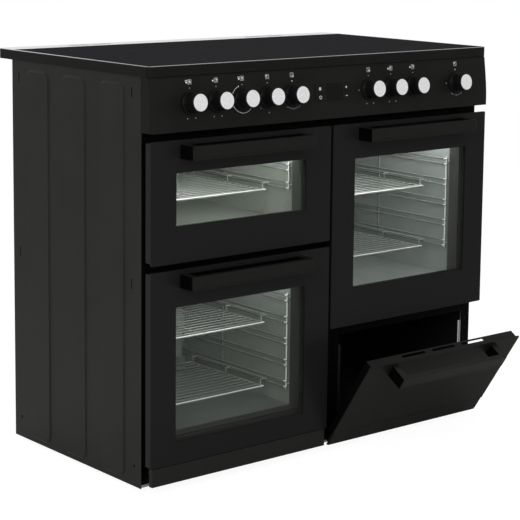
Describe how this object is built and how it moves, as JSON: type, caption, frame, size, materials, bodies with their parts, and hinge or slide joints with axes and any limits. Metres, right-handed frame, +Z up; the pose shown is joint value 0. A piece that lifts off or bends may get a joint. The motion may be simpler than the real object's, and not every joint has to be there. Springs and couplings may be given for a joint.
{
  "type": "range cooker",
  "caption": "Free-standing electric range cooker: ceramic hob, knob panel, grill and main oven at left, tall oven and an open storage flap at right.",
  "frame": {"origin": "on the floor, below the centre of the bounding box at rest, with the flap open", "axes": "+X to the right as seen from the front, +Y towards the rear, +Z up; the doors face -Y"},
  "size_m": [1, 0.7534, 0.91],
  "materials": {
    "cabinet_enamel": "dark grey semi-gloss enamel",
    "galvanised_sheet": "plain galvanised sheet",
    "frame_black": "black enamel",
    "black_plastic": "moulded plastic",
    "rim_metal": "charcoal paint over folded sheet",
    "hob_glass": "black glass-ceramic",
    "heater": "pale insulating board",
    "panel_metal": "charcoal paint",
    "cavity_enamel": "grey-green speckled enamel",
    "storage_sheet": "grey paint",
    "gasket": "soft gasket",
    "chrome_wire": "bright plated wire",
    "element": "dark heat-tinted steel",
    "lamp": "clear lamp glass",
    "fan": "bright pressed wheel",
    "door_frame": "brown-grey enamel",
    "door_glass": "black-printed glass with a clear window",
    "inner_glass": "clear heat-resisting glass",
    "handle": "charcoal paint",
    "knob": "black plastic with a bright metal cap"
  },
  "bodies": {
    "cabinet": {"side_panel_left": "cabinet_enamel", "side_panel_right": "cabinet_enamel", "back_panel": "galvanised_sheet", "base_panel": "galvanised_sheet", "front_frame": "frame_black", "levelling_feet": "black_plastic", "terminal_cover": "black_plastic", "hob_rim": "rim_metal", "hob_glass": "hob_glass", "radiant_heaters": "heater", "fascia": "panel_metal", "air_outlet": "frame_black", "timer_unit": "black_plastic", "switch_bodies": "black_plastic", "liner_grill_oven": "cavity_enamel", "liner_main_oven": "cavity_enamel", "liner_tall_oven": "cavity_enamel", "liner_storage": "storage_sheet", "door_seals": "gasket", "shelf_racks": "chrome_wire", "grill_element": "element", "ring_elements": "element", "fan_covers": "cavity_enamel", "fan_motors": "galvanised_sheet", "oven_lamps": "lamp"},
    "grill_door": {"grill_door_frame": "door_frame", "grill_door_glass": "door_glass", "grill_door_inner_glass": "inner_glass", "grill_door_handle": "handle"},
    "main_door": {"main_door_frame": "door_frame", "main_door_glass": "door_glass", "main_door_inner_glass": "inner_glass", "main_door_handle": "handle"},
    "tall_door": {"tall_door_frame": "door_frame", "tall_door_glass": "door_glass", "tall_door_inner_glass": "inner_glass", "tall_door_handle": "handle"},
    "flap": {"flap_panel": "panel_metal", "flap_frame": "panel_metal", "flap_handle": "handle"},
    "knob_1": {"knob_1": "knob"},
    "knob_2": {"knob_2": "knob"},
    "knob_3": {"knob_3": "knob"},
    "knob_4": {"knob_4": "knob"},
    "knob_5": {"knob_5": "knob"},
    "knob_6": {"knob_6": "knob"},
    "knob_7": {"knob_7": "knob"},
    "knob_8": {"knob_8": "knob"},
    "knob_9": {"knob_9": "knob"},
    "key_mode": {"key_mode": "panel_metal"},
    "key_clock": {"key_clock": "panel_metal"},
    "key_plus": {"key_plus": "panel_metal"},
    "key_minus": {"key_minus": "panel_metal"},
    "fan_main_oven": {"fan_main_oven": "fan"},
    "fan_tall_oven": {"fan_tall_oven": "fan"},
    "shelf_grill_oven": {"shelf_grill_oven": "chrome_wire"},
    "shelf_main_upper": {"shelf_main_upper": "chrome_wire"},
    "shelf_main_lower": {"shelf_main_lower": "chrome_wire"},
    "shelf_tall_upper": {"shelf_tall_upper": "chrome_wire"},
    "shelf_tall_lower": {"shelf_tall_lower": "chrome_wire"}
  },
  "joints": [
    {"name": "grill_door_hinge", "type": "hinge", "parent": "cabinet", "child": "grill_door", "pos_m": [-0.2485, -0.19633, 0.507], "axis": [1, 0, 0], "range_deg": [0, 90], "stiffness_Nm_per_rad": 6, "springref_deg": -28.65},
    {"name": "main_door_hinge", "type": "hinge", "parent": "cabinet", "child": "main_door", "pos_m": [-0.2485, -0.19633, 0.065], "axis": [1, 0, 0], "range_deg": [0, 90], "stiffness_Nm_per_rad": 6, "springref_deg": -28.65},
    {"name": "tall_door_hinge", "type": "hinge", "parent": "cabinet", "child": "tall_door", "pos_m": [0.251, -0.19633, 0.302], "axis": [1, 0, 0], "range_deg": [0, 90], "stiffness_Nm_per_rad": 6, "springref_deg": -28.65},
    {"name": "flap_hinge", "type": "hinge", "parent": "cabinet", "child": "flap", "pos_m": [0.251, -0.20333, 0.029], "axis": [1, 0, 0], "range_deg": [-33.4, 0]},
    {"name": "knob_1_turn", "type": "hinge", "parent": "cabinet", "child": "knob_1", "pos_m": [-0.394, -0.21136, 0.82952], "axis": [0, -0.9917, 0.1288], "range_deg": [-300, 0]},
    {"name": "knob_2_turn", "type": "hinge", "parent": "cabinet", "child": "knob_2", "pos_m": [-0.324, -0.21136, 0.82952], "axis": [0, -0.9917, 0.1288], "range_deg": [-300, 0]},
    {"name": "knob_3_turn", "type": "hinge", "parent": "cabinet", "child": "knob_3", "pos_m": [-0.254, -0.21136, 0.82952], "axis": [0, -0.9917, 0.1288], "range_deg": [-300, 0]},
    {"name": "knob_4_turn", "type": "hinge", "parent": "cabinet", "child": "knob_4", "pos_m": [-0.184, -0.21136, 0.82952], "axis": [0, -0.9917, 0.1288], "range_deg": [-300, 0]},
    {"name": "knob_5_turn", "type": "hinge", "parent": "cabinet", "child": "knob_5", "pos_m": [-0.114, -0.21136, 0.82952], "axis": [0, -0.9917, 0.1288], "range_deg": [-300, 0]},
    {"name": "knob_6_turn", "type": "hinge", "parent": "cabinet", "child": "knob_6", "pos_m": [0.114, -0.21136, 0.82952], "axis": [0, -0.9917, 0.1288], "range_deg": [-300, 0]},
    {"name": "knob_7_turn", "type": "hinge", "parent": "cabinet", "child": "knob_7", "pos_m": [0.184, -0.21136, 0.82952], "axis": [0, -0.9917, 0.1288], "range_deg": [-300, 0]},
    {"name": "knob_8_turn", "type": "hinge", "parent": "cabinet", "child": "knob_8", "pos_m": [0.254, -0.21136, 0.82952], "axis": [0, -0.9917, 0.1288], "range_deg": [-300, 0]},
    {"name": "knob_9_turn", "type": "hinge", "parent": "cabinet", "child": "knob_9", "pos_m": [0.394, -0.21136, 0.82952], "axis": [0, -0.9917, 0.1288], "range_deg": [-300, 0]},
    {"name": "key_mode_press", "type": "slide", "parent": "cabinet", "child": "key_mode", "axis": [0, 0.9917, -0.1288], "range_m": [0, 0.0012], "stiffness_N_per_m": 300, "springref_m": -0.001},
    {"name": "key_clock_press", "type": "slide", "parent": "cabinet", "child": "key_clock", "axis": [0, 0.9917, -0.1288], "range_m": [0, 0.0012], "stiffness_N_per_m": 300, "springref_m": -0.001},
    {"name": "key_plus_press", "type": "slide", "parent": "cabinet", "child": "key_plus", "axis": [0, 0.9917, -0.1288], "range_m": [0, 0.0012], "stiffness_N_per_m": 300, "springref_m": -0.001},
    {"name": "key_minus_press", "type": "slide", "parent": "cabinet", "child": "key_minus", "axis": [0, 0.9917, -0.1288], "range_m": [0, 0.0012], "stiffness_N_per_m": 300, "springref_m": -0.001},
    {"name": "fan_main_oven_spin", "type": "hinge", "parent": "cabinet", "child": "fan_main_oven", "pos_m": [-0.252, 0.22167, 0.2725], "axis": [0, -1, 0], "continuous": true},
    {"name": "fan_tall_oven_spin", "type": "hinge", "parent": "cabinet", "child": "fan_tall_oven", "pos_m": [0.252, 0.22167, 0.5435], "axis": [0, -1, 0], "continuous": true},
    {"name": "shelf_grill_oven_slide", "type": "slide", "parent": "cabinet", "child": "shelf_grill_oven", "axis": [0, -1, 0], "range_m": [0, 0.085]},
    {"name": "shelf_main_upper_slide", "type": "slide", "parent": "cabinet", "child": "shelf_main_upper", "axis": [0, -1, 0], "range_m": [0, 0.085]},
    {"name": "shelf_main_lower_slide", "type": "slide", "parent": "cabinet", "child": "shelf_main_lower", "axis": [0, -1, 0], "range_m": [0, 0.085]},
    {"name": "shelf_tall_upper_slide", "type": "slide", "parent": "cabinet", "child": "shelf_tall_upper", "axis": [0, -1, 0], "range_m": [0, 0.085]},
    {"name": "shelf_tall_lower_slide", "type": "slide", "parent": "cabinet", "child": "shelf_tall_lower", "axis": [0, -1, 0], "range_m": [0, 0.085]}
  ]
}
